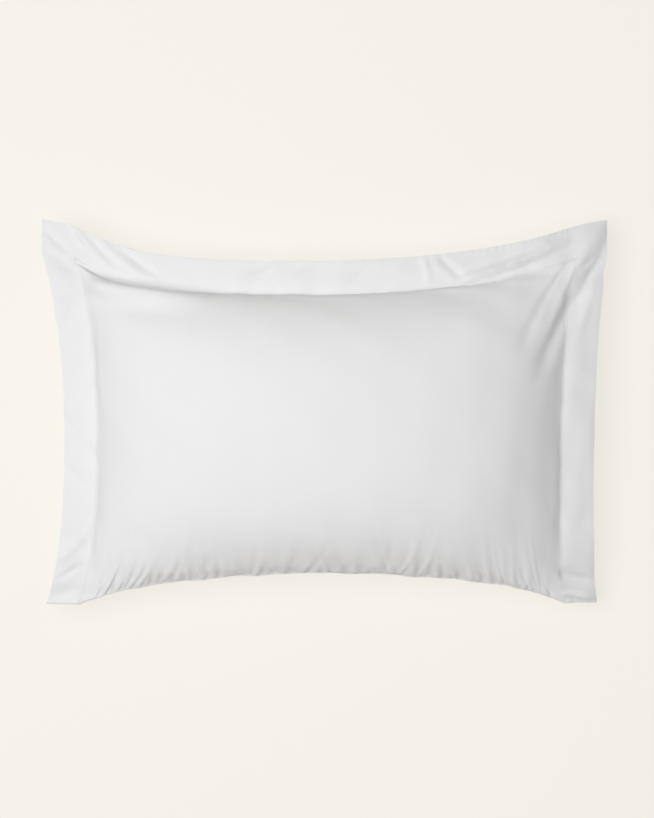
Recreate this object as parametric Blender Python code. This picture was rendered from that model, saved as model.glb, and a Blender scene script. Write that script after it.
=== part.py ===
"""Bed pillow in a flanged (Oxford) cotton case, lying on its back, as separate sewn pieces.

The case is cut flat from a front panel and a back panel that closes with an envelope flap. A rectangular
seam divides the filled body from a flat flange. The flange on the near long side is folded under the body
along that seam. Inside lie the ticking, its piping and label, and the fibre filling.

Metres, +X along the long side, +Y towards the flat far flange, +Z up. The underside rests on Z = 0.
"""

import math

import bmesh
import bpy
import numpy as np

# Flat cut sizes of the case
BODY_WIDTH = 0.750
BODY_DEPTH = 0.500
FLANGE_WIDTH = 0.050

# The seam rectangle once the pillow is filled
FAR_HALF_WIDTH = 0.3595
NEAR_HALF_WIDTH = 0.3525
HALF_DEPTH = 0.2475
PULL_IN_FAR = 0.050
PULL_IN_NEAR = 0.046
PULL_IN_LEFT = 0.031
PULL_IN_RIGHT = 0.018
FAR_PULL_POWER = 3.2
NEAR_PULL_POWER = 2.0
CORNER_FLARE = 0.009
FLANGE_REACH_X = 0.0475
FLANGE_REACH_Y = 0.044
FLANGE_DROP = 0.007

# Heights
SEAM_HEIGHT = 0.084
CORNER_SAG = 0.016
CROWN_RISE = 0.098
BELLY_DROP = 0.096
CROWN_POWER_X = 2.6
CROWN_POWER_Y = 2.3
CROWN_SHARPNESS = 0.62

# Cloth, thread and gaps between layers
CLOTH = 0.0005
LAYER_STEP = 0.0009
FOLD_GAP = 0.003
THREAD_RADIUS = 0.0004
THREAD_STANDOFF = 0.0013
HEM_STANDOFF = 0.0018
LABEL_THICKNESS = 0.0004
LABEL_STANDOFF = 0.0026
# A label's three lines of points across a grid cell, as shares of the cell
LABEL_SHARES = (0.15, 0.5, 0.85)

# The insert inside the case
INSERT_INSET = 0.012
INSERT_CORNER_INSET = 0.014
INSERT_CLEARANCE = 0.0055
FILL_CLEARANCE = 0.0025
PIPING_RADIUS = 0.002
PIPING_STANDOFF = 0.0034

# Mesh fineness
BODY_COLUMNS = 16
BODY_ROWS = 12
FLANGE_CELLS = 2
FOLD_TURN_STEPS = 4
FOLD_ROWS = 4

# Grid lines of the envelope opening, counted from the middle of the body to the right
OPENING_COLUMN = 4
FLAP_COLUMN = 1
HEM_SHARE = 0.65


def clear_scene():
    for old in list(bpy.data.objects):
        bpy.data.objects.remove(old)


def make_material(name, colour, roughness):
    material = bpy.data.materials.new(name)
    material.use_nodes = True
    shader = material.node_tree.nodes["Principled BSDF"]
    shader.inputs["Base Color"].default_value = (*colour, 1.0)
    shader.inputs["Roughness"].default_value = roughness
    shader.inputs["Metallic"].default_value = 0.0
    return material


def grid_lines(cells):
    """Positions from -1 to 1, closer together near the seam, then beyond it across the flange."""
    body = [math.sin(math.pi / 2 * k / (cells / 2)) for k in range(-cells // 2, cells // 2 + 1)]
    beyond = [1 + (k + 1) / FLANGE_CELLS for k in range(FLANGE_CELLS)]
    return [-p for p in reversed(beyond)] + body + beyond


def seam_frame(u, v, inset):
    """The place in plan of a point at u, v, where -1 to 1 is the body and 2 the edge of the flange."""
    inner_u = max(-1.0, min(1.0, u))
    inner_v = max(-1.0, min(1.0, v))
    to_far = (inner_v + 1) / 2
    half_width = NEAR_HALF_WIDTH + (FAR_HALF_WIDTH - NEAR_HALF_WIDTH) * to_far
    pull_x = PULL_IN_LEFT if u < 0 else PULL_IN_RIGHT
    pull_y = PULL_IN_NEAR if v < 0 else PULL_IN_FAR
    if inset:
        inset += INSERT_CORNER_INSET * (inner_u * inner_v) ** 6
    half_width -= pull_x * (1 - inner_v**2) + inset
    power = NEAR_PULL_POWER if v < 0 else FAR_PULL_POWER
    half_depth = HALF_DEPTH - pull_y * (1 - abs(inner_u) ** power) - inset
    if v > 0:
        half_depth += CORNER_FLARE * max(0.0, abs(u) - 1)
    x = inner_u * half_width + math.copysign(max(0.0, abs(u) - 1) * FLANGE_REACH_X, u)
    y = inner_v * half_depth + math.copysign(max(0.0, abs(v) - 1) * FLANGE_REACH_Y, v)
    return x, y


def seam_level(u, v):
    """Height of the seam and the flange, which hang a little lower at the corners."""
    inner_u = max(-1.0, min(1.0, u))
    inner_v = max(-1.0, min(1.0, v))
    beyond = max(abs(u), abs(v), 1.0) - 1
    return SEAM_HEIGHT - CORNER_SAG * (inner_u * inner_v) ** 2 - FLANGE_DROP * beyond


def fullness(u, v):
    """0 on the seam and beyond it, 1 in the middle of the body."""
    if abs(u) >= 1 or abs(v) >= 1:
        return 0.0
    return ((1 - abs(u) ** CROWN_POWER_X) * (1 - abs(v) ** CROWN_POWER_Y)) ** CROWN_SHARPNESS


def upper_point(u, v, inset=0.0, clearance=0.0):
    x, y = seam_frame(u, v, inset)
    return x, y, seam_level(u, v) + (CROWN_RISE - clearance) * fullness(u, v)


def lower_point(u, v, inset=0.0, clearance=0.0):
    x, y = seam_frame(u, v, inset)
    z = seam_level(u, v) - (BELLY_DROP - clearance) * fullness(u, v)
    return x, y, max(z, CLOTH / 2 + clearance)


def surface_grid(point, us, vs, **kwargs):
    """Points of a surface as an array of rows, each running along +X."""
    return np.array([[point(u, v, **kwargs) for u in us] for v in vs])


def grid_normals(points):
    """Normals of a grid of points, up on a grid that lies flat. They are a little over 1 long at a crease,
    so that a layer moved along them keeps its distance from both sides of it."""
    diagonals = points[1:, 1:] - points[:-1, :-1], points[1:, :-1] - points[:-1, 1:]
    cells = np.cross(*diagonals)
    cells /= np.linalg.norm(cells, axis=2, keepdims=True)
    total = np.zeros_like(points)
    count = np.zeros((*points.shape[:2], 1))
    for rows in (slice(None, -1), slice(1, None)):
        for columns in (slice(None, -1), slice(1, None)):
            total[rows, columns] += cells
            count[rows, columns] += 1
    return total * count / np.sum(total**2, axis=2, keepdims=True)


def walk_inwards(points, normals, distance):
    """Points and normals at a distance along each column, measured on the surface from the first row."""
    steps = np.linalg.norm(np.diff(points, axis=0), axis=2)
    travelled = np.vstack([np.zeros(points.shape[1]), np.cumsum(steps, axis=0)])
    place = np.empty((points.shape[1], 3))
    facing = np.empty((points.shape[1], 3))
    for column in range(points.shape[1]):
        for axis in range(3):
            place[column, axis] = np.interp(distance, travelled[:, column], points[:, column, axis])
            facing[column, axis] = np.interp(distance, travelled[:, column], normals[:, column, axis])
    return place, facing


def with_folded_margin(back):
    """Adds the near flange to the back's grid: it turns round the seam and lies under the body."""
    normals = grid_normals(back)
    margin = []
    for row in range(FOLD_ROWS, 0, -1):
        place, facing = walk_inwards(back, normals, FLANGE_WIDTH * row / FOLD_ROWS)
        margin.append(place - facing * FOLD_GAP)
    radius = FOLD_GAP / 2
    turn = []
    for step in range(FOLD_TURN_STEPS - 1, 0, -1):
        angle = math.pi * step / FOLD_TURN_STEPS
        offset = np.array([0.0, -radius * math.sin(angle), -radius * (1 - math.cos(angle))])
        turn.append(back[0] + offset)
    return np.concatenate([np.array(margin), np.array(turn), back])


def sheet_mesh(name, points):
    mesh = bmesh.new()
    rows = [[mesh.verts.new(point) for point in row] for row in points]
    for near, far in zip(rows, rows[1:]):
        for k in range(len(near) - 1):
            mesh.faces.new((near[k], near[k + 1], far[k + 1], far[k]))
    data = bpy.data.meshes.new(name)
    mesh.to_mesh(data)
    mesh.free()
    return data


def add_object(name, data, material, pillow):
    piece = bpy.data.objects.new(name, data)
    piece.data.materials.append(material)
    piece.parent = pillow
    bpy.context.scene.collection.objects.link(piece)
    return piece


def add_sheet(name, points, thickness, material, pillow):
    """A piece of cloth: a grid of points with a thickness."""
    piece = add_object(name, sheet_mesh(name, points), material, pillow)
    solid = piece.modifiers.new("Cloth thickness", "SOLIDIFY")
    solid.thickness = thickness
    solid.offset = 0.0
    piece.data.shade_smooth()
    return piece


def add_thread(name, path, radius, closed, sides, material, pillow):
    """A thread or a piping cord along a path of points."""
    curve = bpy.data.curves.new(name, "CURVE")
    curve.dimensions = "3D"
    curve.bevel_depth = radius
    curve.bevel_resolution = sides // 2 - 2
    curve.use_fill_caps = True
    spline = curve.splines.new("POLY")
    spline.points.add(len(path) - 1)
    for point, place in zip(spline.points, path):
        point.co = (*place, 1.0)
    spline.use_cyclic_u = closed
    return add_object(name, curve, material, pillow)


def round_the_edge(grid):
    """The outer points of a grid in order, starting at its near left corner."""
    near = list(grid[0])
    right = list(grid[1:, -1])
    far = list(grid[-1, -2::-1])
    left = list(grid[-2:0:-1, 0])
    return np.array(near + right + far + left)


def add_filling(name, upper, lower, material, pillow):
    """One closed body between an upper and a lower surface that meet on the seam."""
    mesh = bmesh.new()
    for points in (upper, lower):
        rows = [[mesh.verts.new(point) for point in row] for row in points]
        for near, far in zip(rows, rows[1:]):
            for k in range(len(near) - 1):
                mesh.faces.new((near[k], near[k + 1], far[k + 1], far[k]))
    bmesh.ops.remove_doubles(mesh, verts=mesh.verts, dist=1e-6)
    bmesh.ops.recalc_face_normals(mesh, faces=mesh.faces)
    data = bpy.data.meshes.new(name)
    mesh.to_mesh(data)
    mesh.free()
    piece = add_object(name, data, material, pillow)
    piece.data.shade_smooth()
    return piece


def label_patch(points, normals, row, column, lift):
    """A small patch that fills the middle of one grid cell, held off the surface."""
    patch = []
    for down in LABEL_SHARES:
        line = []
        for across in LABEL_SHARES:
            corners = (
                (row, column, (1 - down) * (1 - across)),
                (row, column + 1, (1 - down) * across),
                (row + 1, column, down * (1 - across)),
                (row + 1, column + 1, down * across),
            )
            place = sum(points[j, i] * share for j, i, share in corners)
            facing = sum(normals[j, i] * share for j, i, share in corners)
            line.append(place + facing * lift)
        patch.append(line)
    return np.array(patch)


def along_hem(points, normals, edge, inner, lift):
    """A path beside a hemmed edge, between two grid columns, held off the surface."""
    place = points[:, edge] * HEM_SHARE + points[:, inner] * (1 - HEM_SHARE)
    facing = normals[:, edge] * HEM_SHARE + normals[:, inner] * (1 - HEM_SHARE)
    return place + facing * lift


def build_case(us, vs, shift, cloth, thread, label, pillow):
    body_vs = [v for v in vs if v >= -1]
    first_column = FLANGE_CELLS
    last_column = FLANGE_CELLS + BODY_COLUMNS
    middle_column = FLANGE_CELLS + BODY_COLUMNS // 2
    folded_rows = FOLD_ROWS + FOLD_TURN_STEPS - 1

    # The three layers keep their order round the fold: back, flap, front.
    back = with_folded_margin(surface_grid(lower_point, us, body_vs) + shift)
    normals = grid_normals(back)
    flap = back + normals * LAYER_STEP
    front = back + normals * (2 * LAYER_STEP)
    front[folded_rows:] = surface_grid(upper_point, us, body_vs) + shift
    front[folded_rows:, :, 2] += 2 * LAYER_STEP

    opening = middle_column + OPENING_COLUMN
    flap_edge = middle_column + FLAP_COLUMN
    add_sheet("case_front_panel", front, CLOTH, cloth, pillow)
    add_sheet("case_back_panel", back[:, : opening + 1], CLOTH, cloth, pillow)
    add_sheet("case_back_flap", flap[:, flap_edge:], CLOTH, cloth, pillow)

    body = slice(folded_rows, folded_rows + BODY_ROWS + 1)
    front_normals = grid_normals(front)
    lifted = front + front_normals * THREAD_STANDOFF
    seam = round_the_edge(lifted[body, first_column : last_column + 1])
    add_thread("flange_stitching", seam, THREAD_RADIUS, True, 6, thread, pillow)

    # Both hems run across the body between the two long seams.
    across = slice(folded_rows + 1, folded_rows + BODY_ROWS)
    hem = along_hem(back[across], normals[across], opening, opening - 1, -HEM_STANDOFF)
    add_thread("opening_hem_stitching", hem, THREAD_RADIUS, False, 6, thread, pillow)
    hem = along_hem(flap[across], normals[across], flap_edge, flap_edge + 1, HEM_STANDOFF)
    add_thread("flap_hem_stitching", hem, THREAD_RADIUS, False, 6, thread, pillow)

    care = label_patch(front, front_normals, folded_rows + BODY_ROWS - 2, opening - 1, -LABEL_STANDOFF)
    add_sheet("case_care_label", care, LABEL_THICKNESS, label, pillow)


def build_insert(us, vs, shift, ticking, thread, label, fibre, pillow):
    body_us = [u for u in us if abs(u) <= 1]
    body_vs = [v for v in vs if abs(v) <= 1]
    shell = {"inset": INSERT_INSET, "clearance": INSERT_CLEARANCE}
    half_gap = np.array([0.0, 0.0, LAYER_STEP / 2])
    upper = surface_grid(upper_point, body_us, body_vs, **shell) + shift + half_gap
    lower = surface_grid(lower_point, body_us, body_vs, **shell) + shift - half_gap
    add_sheet("ticking_front", upper, CLOTH, ticking, pillow)
    add_sheet("ticking_back", lower, CLOTH, ticking, pillow)

    beside = {"inset": INSERT_INSET - PIPING_STANDOFF, "clearance": INSERT_CLEARANCE}
    cord = round_the_edge(surface_grid(upper_point, body_us, body_vs, **beside) + shift)
    add_thread("ticking_piping", cord, PIPING_RADIUS, True, 8, ticking, pillow)

    normals = grid_normals(upper)
    rows = slice(BODY_ROWS // 2 - 2, BODY_ROWS // 2 + 3)
    closing = upper[rows, 1] + normals[rows, 1] * THREAD_STANDOFF
    add_thread("ticking_closing_stitches", closing, THREAD_RADIUS, False, 6, thread, pillow)

    lower_normals = grid_normals(lower)
    tag = label_patch(lower, lower_normals, 2, 2, -LABEL_STANDOFF)
    add_sheet("ticking_label", tag, LABEL_THICKNESS, label, pillow)

    inside = {"inset": INSERT_INSET + FILL_CLEARANCE, "clearance": INSERT_CLEARANCE + FILL_CLEARANCE}
    fill_upper = surface_grid(upper_point, body_us, body_vs, **inside) + shift
    fill_lower = surface_grid(lower_point, body_us, body_vs, **inside) + shift
    add_filling("fibre_fill", fill_upper, fill_lower, fibre, pillow)


def main():
    clear_scene()
    cloth = make_material("white_cotton", (0.83, 0.83, 0.84), 0.75)
    ticking = make_material("ticking_cotton", (0.80, 0.80, 0.78), 0.85)
    thread = make_material("white_thread", (0.86, 0.86, 0.86), 0.55)
    label = make_material("label_tape", (0.84, 0.84, 0.83), 0.5)
    fibre = make_material("polyester_fibre", (0.88, 0.88, 0.87), 0.9)

    pillow = bpy.data.objects.new("pillow", None)
    bpy.context.scene.collection.objects.link(pillow)

    us = grid_lines(BODY_COLUMNS)
    vs = grid_lines(BODY_ROWS)
    # The origin is under the middle of the whole outline, from the fold's nearest point to the far edge.
    far_edge = HALF_DEPTH + FLANGE_REACH_Y + CORNER_FLARE
    near_edge = HALF_DEPTH + FOLD_GAP / 2 + 2 * LAYER_STEP + CLOTH / 2
    shift = np.array([0.0, (near_edge - far_edge) / 2, 0.0])
    build_case(us, vs, shift, cloth, thread, label, pillow)
    build_insert(us, vs, shift, ticking, thread, label, fibre, pillow)


main()
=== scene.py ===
"""The looks of the bed pillow: cloth panels shaped by simulation, stitching, the insert, light and camera."""

import math

import bpy
import numpy as np
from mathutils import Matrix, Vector


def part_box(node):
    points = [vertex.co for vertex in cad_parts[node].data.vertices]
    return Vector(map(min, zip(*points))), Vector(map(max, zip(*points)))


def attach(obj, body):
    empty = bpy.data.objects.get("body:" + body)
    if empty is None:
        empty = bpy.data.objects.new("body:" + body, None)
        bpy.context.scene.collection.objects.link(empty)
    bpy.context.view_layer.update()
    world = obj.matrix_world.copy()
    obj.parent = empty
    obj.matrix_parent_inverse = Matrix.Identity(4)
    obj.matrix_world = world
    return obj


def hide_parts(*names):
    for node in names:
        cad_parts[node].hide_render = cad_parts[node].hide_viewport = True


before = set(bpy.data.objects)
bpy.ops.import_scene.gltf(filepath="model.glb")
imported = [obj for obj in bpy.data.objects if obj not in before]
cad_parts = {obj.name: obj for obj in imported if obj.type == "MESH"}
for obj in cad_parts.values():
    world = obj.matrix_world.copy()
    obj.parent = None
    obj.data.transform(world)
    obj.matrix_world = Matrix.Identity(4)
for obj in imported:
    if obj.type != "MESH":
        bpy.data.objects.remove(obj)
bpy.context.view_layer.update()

# Flat cut sizes of the case, in metres
BODY_WIDTH = 0.750
BODY_DEPTH = 0.500
FLANGE_WIDTH = 0.050

# The filled outline: how far the seam is drawn in at the middle of each side, and how the corners hang
SEAM_LOW, SEAM_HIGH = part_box("flange_stitching")
FAR_HALF_WIDTH = SEAM_HIGH.x - 0.002
NEAR_HALF_WIDTH = FAR_HALF_WIDTH - 0.007
NEAR_RIGHT_INSET = 0.006
SEAM_NEAR_Y = SEAM_LOW.y + 0.001
SEAM_FAR_Y = SEAM_HIGH.y - 0.002
SEAM_HEIGHT = 0.084
CORNER_SAG = 0.016
NEAR_RIGHT_SAG = 0.018
PULL_IN_FAR = 0.053
PULL_IN_NEAR = 0.046
PULL_IN_LEFT = 0.030
PULL_IN_RIGHT = 0.013
FAR_CURVE_LEFT = 3.2
FAR_CURVE_RIGHT = 1.8
FLANGE_DROP = 0.002
RIGHT_FLANGE_DROP = 0.011
FLANGE_REACH = 0.0485
FAR_FLARE = 0.009
# Share of the seam's cloth that is taken up in gathers too fine for the simulation
GATHERED_FAR = 0.006
GATHERED_NEAR = 0.016
GATHER_REACH = 0.030

# Simulation
SIM_CELL = 0.00625
SIM_FRAMES = 24
SIM_QUALITY = 5
FILL_PRESSURE = 11.0
SEAM_HOLD = 0.35
ROUNDNESS = 0.95
CROWN_GUESS = 0.090
BELLY_GUESS = 0.078
CORNER_HOLD = 0.6
CROWN_FULLNESS = 0.6
INWARD_FADE = 3
FLARE_FADE = 4
BED_SIZE = 3.0

# The filling stops a little short of the seam, so the cloth beside it lies slack. The far seam's slack grows
# from its left end to its right end.
LEFT_SLACK = 0.48
RIGHT_SLACK = 0.67
NEAR_SLACK = 0.50
FAR_SLACK = (0.10, 0.74)
FAR_SLACK_GROWTH = 1.5
SLACK_REACH = 0.034

# Cloth layers
CLOTH = 0.0004
LAYER_STEP = 0.0006
FOLD_GAP = 0.0018
EDGE_ROLL = 0.003
EDGE_TOUCH = 0.55
FLANGE_TURN = 0.004
CREASE_ANGLE = math.radians(60)

# How many times a grid of points is evened out
FLANK_SOFTENING = 30
BACK_SOFTENING = 12
MARGIN_SOFTENING = 12
FOLD_SOFTENING = 6
GATHER_SOFTENING = 2
INSERT_SOFTENING = 30
LABEL_SOFTENING = 20
IRONING = 24
IRONED_SHARE = 0.8

# Fineness of the finished cloth: across the gathers, beside a seam, in the middle and on the flange
FINENESS = 1
GATHER_STEP = 0.0024 * FINENESS
SEAM_STEP = 0.0028 * FINENESS
MIDDLE_STEP = 0.0063 * FINENESS
FLANGE_STEP = 0.0042 * FINENESS
SEAM_ZONE = 0.070
FOLD_TURN_STEPS = 5
FOLD_ROWS = 12 // FINENESS
ON_LINE = 1e-6
NO_LENGTH = 1e-12

# Gathers of the near seam, on the front and on the back, then of the far seam and of the two short ones
NEAR_GATHER_HEIGHTS = (0.0024, 0.0008)
NEAR_GATHERS = {"count": 96, "reach": 0.150, "at_seam": 0.35}
FAR_GATHERS = {"count": 40, "height": 0.0007, "reach": 0.050, "at_seam": 0.1}
SIDE_GATHERS = {"count": 16, "height": 0.00035, "reach": 0.030, "at_seam": 0.1}
LONG_SEAM_END = 0.03
SHORT_SEAM_END = 0.04

# How much one gather may differ from the next, and how it opens out and fades as it leaves the seam
GATHER_PLACES = 0.35
GATHER_LENGTHS = (0.45, 1.5)
GATHER_WIDTHS = (0.0032, 0.0066)
GATHER_HEIGHTS = (0.45, 1.25)
GATHER_SLANTS = (-0.30, 0.30)
GATHER_FAN = 0.5
GATHER_SPREAD = 1.6
GATHER_FADE = 2.6
GATHER_START = 0.08
GATHER_SIDE = 3.5
CRESTS_SHARE = 0.65
HOLLOW_SHARE = 0.8

# Soft unevenness of the filled body, and the rumpled flange
SWELL = {"count": 10, "shortest": 0.06, "longest": 0.20, "height": 0.00022}
RUMPLE = {"count": 8, "shortest": 0.028, "longest": 0.070, "height": 0.00034}
BODY_BLEND = 0.04

# The envelope opening on the back, in flat coordinates
OPENING = 0.265
FLAP_EDGE = 0.073
HEM = 0.028
HEM_RELIEF = 0.0005
HEM_RISE = 0.002
HEM_FALL = 0.003
HEM_STITCH_INSET = 0.003

# Threads. A stitch's middle stands off the cloth by a share of the thread's radius, and the flange's seam is
# sewn a share of one grid step outside the line where the cloth turns.
STITCH = 0.0024
STITCH_PITCH = 0.0031
THREAD_RADIUS = 0.00024
THREAD_RISE = 0.4
SEAM_STITCH_SHARE = 0.45
PIPING_RADIUS = 0.002
PIPING_STANDOFF = 0.0009

# The insert is a little smaller than the case that holds it
INSERT_SHARE = (0.966, 0.945, 0.93)
FILL_SHARE = 0.984

# Labels, held off the cloth they are sewn to
LABEL_PLACE = 0.215
LABEL_STANDOFF = 0.0022
LABEL_THICKNESS = 0.0004
CARE_LABEL_ROWS = 8 // FINENESS
CARE_LABEL_COLUMNS = 14 // FINENESS
INSERT_LABEL_ROWS = 5 // FINENESS + 1
INSERT_LABEL_COLUMNS = 6 // FINENESS + 1

# Studio
FLOOR_SIZE = 8.0
FLOOR_COLOUR = (0.92, 0.895, 0.83)
FLOOR_LIT_SHARE = 0.25
LIGHT_AIM = (0, 0, 0.1)
KEY_PLACE = (-0.93, 0.10, 2.65)
KEY_SIZE = 2.4
KEY_POWER = 61.5
KEY_COLOUR = (1.0, 0.99, 0.97)
FILL_PLACE = (1.3, 0.3, 2.4)
FILL_SIZE = 2.0
FILL_POWER = 7.0
FILL_COLOUR = (0.98, 0.99, 1.0)
AIR_LIGHT = 0.27
SENSOR = 36.0
CAMERA_DISTANCE = 3.0
VIEW_HEIGHT = 1.165
CAMERA_AIM = (0.0028, 0.0057)

FRONT, BACK = 0, 1
SEED = 7


def smooth_step(t):
    t = np.clip(t, 0.0, 1.0)
    return t * t * (3 - 2 * t)


def nearest(lines, place):
    """Which of a grid's lines is nearest to a place."""
    return int(np.argmin(np.abs(lines - place)))


def body_of(lines_a, lines_b):
    """The rows and columns of a grid that lie on the filled body, seams included."""
    inside_a = np.flatnonzero(np.abs(lines_a) <= BODY_WIDTH / 2 + ON_LINE)
    inside_b = np.flatnonzero(lines_b <= BODY_DEPTH / 2 + ON_LINE)
    return slice(inside_b[0], inside_b[-1] + 1), slice(inside_a[0], inside_a[-1] + 1)


def grid_faces(index, flip=False):
    """The four-sided faces between the points of a grid."""
    corners = [index[:-1, :-1], index[:-1, 1:], index[1:, 1:], index[1:, :-1]]
    return np.stack(corners[::-1] if flip else corners, axis=-1).reshape(-1, 4)


def mesh_piece(name, points, faces):
    """A new object from its points and faces."""
    data = bpy.data.meshes.new(name)
    data.from_pydata(points.tolist(), [], faces.tolist())
    piece = bpy.data.objects.new(name, data)
    bpy.context.scene.collection.objects.link(piece)
    return piece


def sewn_layer(index, first):
    """A second layer of a grid, sewn to it all round. Its own points are numbered from first."""
    layer = index.copy()
    inner = layer[1:-1, 1:-1]
    inner[:] = first + np.arange(inner.size).reshape(inner.shape)
    return layer


# ---------------------------------------------------------------- the filled shape, by cloth simulation


def bent(share):
    """Evenly spaced cloth over a rounded form, seen from above: it crowds together towards the seam."""
    return np.sin(share * ROUNDNESS) / math.sin(ROUNDNESS)


def filled_form(a, b, rise):
    """A first guess at where a flat point of the case lies when the pillow is filled, and where its seam is
    held. rise is the height of the middle above the seam, or below it on the back."""
    u, v = 2 * a / BODY_WIDTH, 2 * b / BODY_DEPTH
    inner_u, inner_v = np.clip(u, -1, 1), np.clip(v, -1, 1)
    out_a = np.clip(np.abs(a) - BODY_WIDTH / 2, 0, None) / FLANGE_WIDTH
    out_b = np.clip(b - BODY_DEPTH / 2, 0, None) / FLANGE_WIDTH
    near_half = NEAR_HALF_WIDTH - np.where(u < 0, 0, NEAR_RIGHT_INSET)
    half_width = near_half + (FAR_HALF_WIDTH - near_half) * (inner_v + 1) / 2
    side_pull = np.where(u < 0, PULL_IN_LEFT, PULL_IN_RIGHT) * (1 - inner_v**2)
    half_width -= side_pull * np.abs(inner_u) ** INWARD_FADE
    x = bent(inner_u) * half_width + np.sign(u) * out_a * FLANGE_REACH
    middle = (SEAM_FAR_Y + SEAM_NEAR_Y) / 2
    half_depth = (SEAM_FAR_Y - SEAM_NEAR_Y) / 2
    far_curve = np.where(u < 0, FAR_CURVE_LEFT, FAR_CURVE_RIGHT)
    far_pull = PULL_IN_FAR * (1 - np.abs(inner_u) ** far_curve)
    drawn_in = np.where(v < 0, PULL_IN_NEAR * (1 - inner_u**2), far_pull)
    half_depth -= drawn_in * np.abs(inner_v) ** INWARD_FADE
    y = middle + bent(inner_v) * half_depth
    y += out_b * FLANGE_REACH + FAR_FLARE * out_a * np.clip(v, 0, 1) ** FLARE_FADE
    sag = CORNER_SAG + np.where((u > 0) & (v < 0), NEAR_RIGHT_SAG, 0)
    drop = np.where(u > 0, RIGHT_FLANGE_DROP, FLANGE_DROP) * out_a + FLANGE_DROP * out_b
    z = SEAM_HEIGHT - sag * (inner_u * inner_v) ** 2 - drop
    z += rise * ((1 - inner_u**2) * (1 - inner_v**2)) ** CROWN_FULLNESS
    return np.stack([x, y, z], axis=-1)


def gathered_cut(a, b):
    """The flat cut with its long edges shortened by the cloth that the fine gathers take up."""
    v = np.clip(2 * b / BODY_DEPTH, -1, 1)
    taken_up = np.where(v < 0, GATHERED_NEAR, GATHERED_FAR)
    share = taken_up * np.exp(-(1 - np.abs(v)) * BODY_DEPTH / 2 / GATHER_REACH)
    return a - np.clip(a, -BODY_WIDTH / 2, BODY_WIDTH / 2) * share


def sewn_case():
    """The stitched case before it is filled: its object, the index grids of its front with the flange and of
    its back, and the flat lines that they follow. The near flange is left out, because it is folded away."""
    margin = round(FLANGE_WIDTH / SIM_CELL)
    columns = round(BODY_WIDTH / SIM_CELL) + 2 * margin + 1
    rows = round(BODY_DEPTH / SIM_CELL) + margin + 1
    lines_a = np.linspace(-BODY_WIDTH / 2 - FLANGE_WIDTH, BODY_WIDTH / 2 + FLANGE_WIDTH, columns)
    lines_b = np.linspace(-BODY_DEPTH / 2, BODY_DEPTH / 2 + FLANGE_WIDTH, rows)
    a, b = np.meshgrid(lines_a, lines_b)
    inside = (slice(0, rows - margin), slice(margin, columns - margin))

    front_index = np.arange(rows * columns).reshape(rows, columns)
    back_index = sewn_layer(front_index[inside], rows * columns)

    front = filled_form(a, b, CROWN_GUESS)
    back = filled_form(a[inside], b[inside], -BELLY_GUESS)[1:-1, 1:-1]
    points = np.concatenate([front.reshape(-1, 3), back.reshape(-1, 3)])
    cut = np.stack([gathered_cut(a, b), b, np.zeros_like(a)], axis=-1)
    flat = np.concatenate([cut.reshape(-1, 3), cut[inside][1:-1, 1:-1].reshape(-1, 3)])

    faces = np.concatenate([grid_faces(front_index), grid_faces(back_index, flip=True)])
    case = mesh_piece("sewn_case", points, faces)

    case.shape_key_add(name="filled")
    flat_key = case.shape_key_add(name="flat_cut")
    flat_key.data.foreach_set("co", flat.astype(np.float32).ravel())
    flat_key.value = 0.0

    seam = np.concatenate([back_index[0], back_index[-1], back_index[1:-1, 0], back_index[1:-1, -1]])
    seam_corners = back_index[[0, 0, -1, -1], [0, -1, 0, -1]]
    outer_corners = front_index[[0, 0, -1, -1], [0, -1, 0, -1]]
    hold = case.vertex_groups.new(name="hold")
    hold.add(seam.tolist(), SEAM_HOLD, "REPLACE")
    hold.add(seam_corners.tolist(), 1.0, "REPLACE")
    hold.add(outer_corners.tolist(), CORNER_HOLD, "REPLACE")
    filled = case.vertex_groups.new(name="filled")
    filled.add(np.unique(back_index).tolist(), 1.0, "REPLACE")
    filled.add(front_index[inside].ravel().tolist(), 1.0, "REPLACE")
    flange_mask = np.ones((rows, columns), bool)
    flange_mask[inside] = False
    stiff = case.vertex_groups.new(name="double_cloth")
    stiff.add(front_index[flange_mask].tolist(), 1.0, "REPLACE")
    return case, front_index, back_index, lines_a, lines_b


def add_filling(case):
    """Makes the case a cloth that its filling presses out, and whose rest shape is the flat cut."""
    cloth = case.modifiers.new("Filling", "CLOTH")
    settings = cloth.settings
    settings.rest_shape_key = case.data.shape_keys.key_blocks["flat_cut"]
    settings.quality = SIM_QUALITY
    settings.mass = 0.0006
    settings.tension_stiffness = 20
    settings.compression_stiffness = 10
    settings.shear_stiffness = 6
    settings.bending_stiffness = 0.2
    settings.bending_stiffness_max = 1.2
    settings.vertex_group_bending = "double_cloth"
    settings.tension_damping = 8
    settings.compression_damping = 8
    settings.shear_damping = 8
    settings.air_damping = 2
    settings.vertex_group_mass = "hold"
    settings.use_pressure = True
    settings.uniform_pressure_force = FILL_PRESSURE
    settings.vertex_group_pressure = "filled"
    settings.effector_weights.gravity = 0
    cloth.collision_settings.use_collision = True
    cloth.collision_settings.distance_min = 0.001
    cloth.collision_settings.collision_quality = 2
    cloth.collision_settings.use_self_collision = False
    cloth.point_cache.frame_start = 1
    cloth.point_cache.frame_end = SIM_FRAMES


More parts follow.
